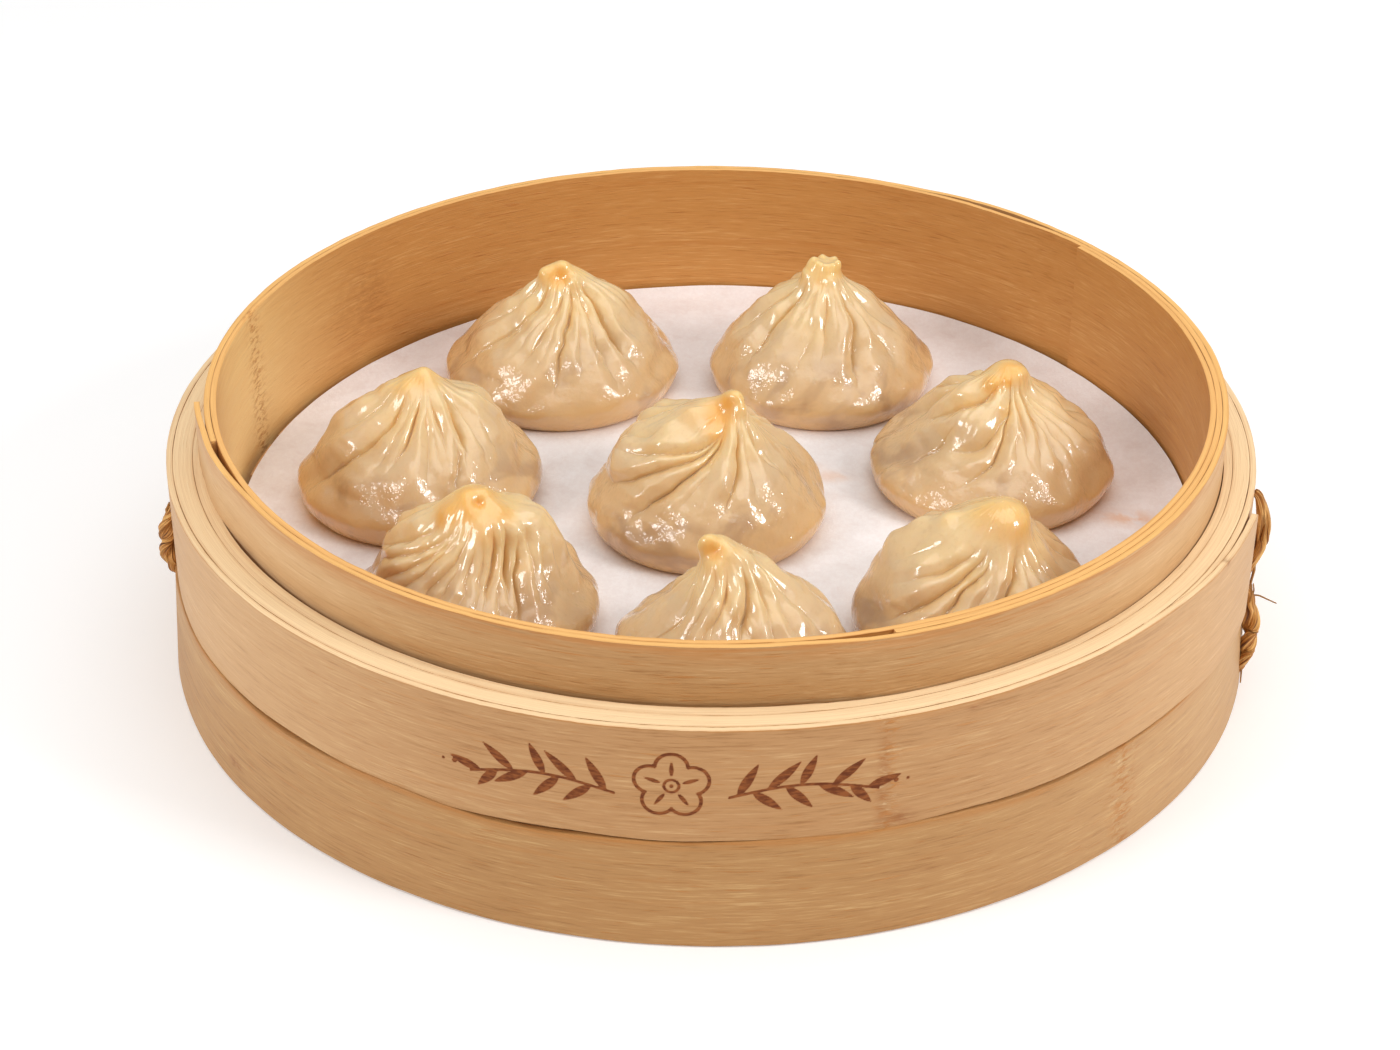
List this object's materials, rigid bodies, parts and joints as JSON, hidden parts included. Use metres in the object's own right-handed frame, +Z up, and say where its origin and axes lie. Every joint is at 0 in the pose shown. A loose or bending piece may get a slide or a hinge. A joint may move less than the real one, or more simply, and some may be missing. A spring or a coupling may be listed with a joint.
{
  "type": "basket of soup dumplings",
  "caption": "Round bamboo steamer tier with a stepped rim, paper liner and slatted floor, filled with pleated soup dumplings.",
  "frame": {"origin": "centre of the basket on the plane it stands on", "axes": "+Z up along the basket's axis, front towards -Y, the outer bands' lashed joint towards +X"},
  "size_m": [0.2145, 0.2134, 0.0552],
  "materials": {
    "bamboo_inner": "satin",
    "bamboo_outer": "satin",
    "bamboo_floor": "matte",
    "cane": "matte",
    "paper": "matte",
    "dough": "gloss"
  },
  "bodies": {
    "root": {"inner_hoop": "bamboo_inner", "middle_hoop": "bamboo_inner", "ledge_hoop_inner": "bamboo_outer", "ledge_hoop_outer": "bamboo_outer", "upper_band": "bamboo_outer", "lower_band": "bamboo_outer", "slat_01": "bamboo_floor", "slat_02": "bamboo_floor", "slat_03": "bamboo_floor", "slat_04": "bamboo_floor", "slat_05": "bamboo_floor", "slat_06": "bamboo_floor", "slat_07": "bamboo_floor", "slat_08": "bamboo_floor", "slat_09": "bamboo_floor", "slat_10": "bamboo_floor", "slat_11": "bamboo_floor", "batten_1": "bamboo_floor", "batten_2": "bamboo_floor", "batten_3": "bamboo_floor", "paper_liner": "paper", "dumpling_back_left": "dough", "dumpling_back_right": "dough", "dumpling_right": "dough", "dumpling_left": "dough", "dumpling_centre": "dough", "dumpling_front_left": "dough", "dumpling_front_centre": "dough", "dumpling_front_right": "dough", "lashing_left": "cane", "lashing_right_upper": "cane", "lashing_right_lower": "cane"}
  },
  "joints": []
}
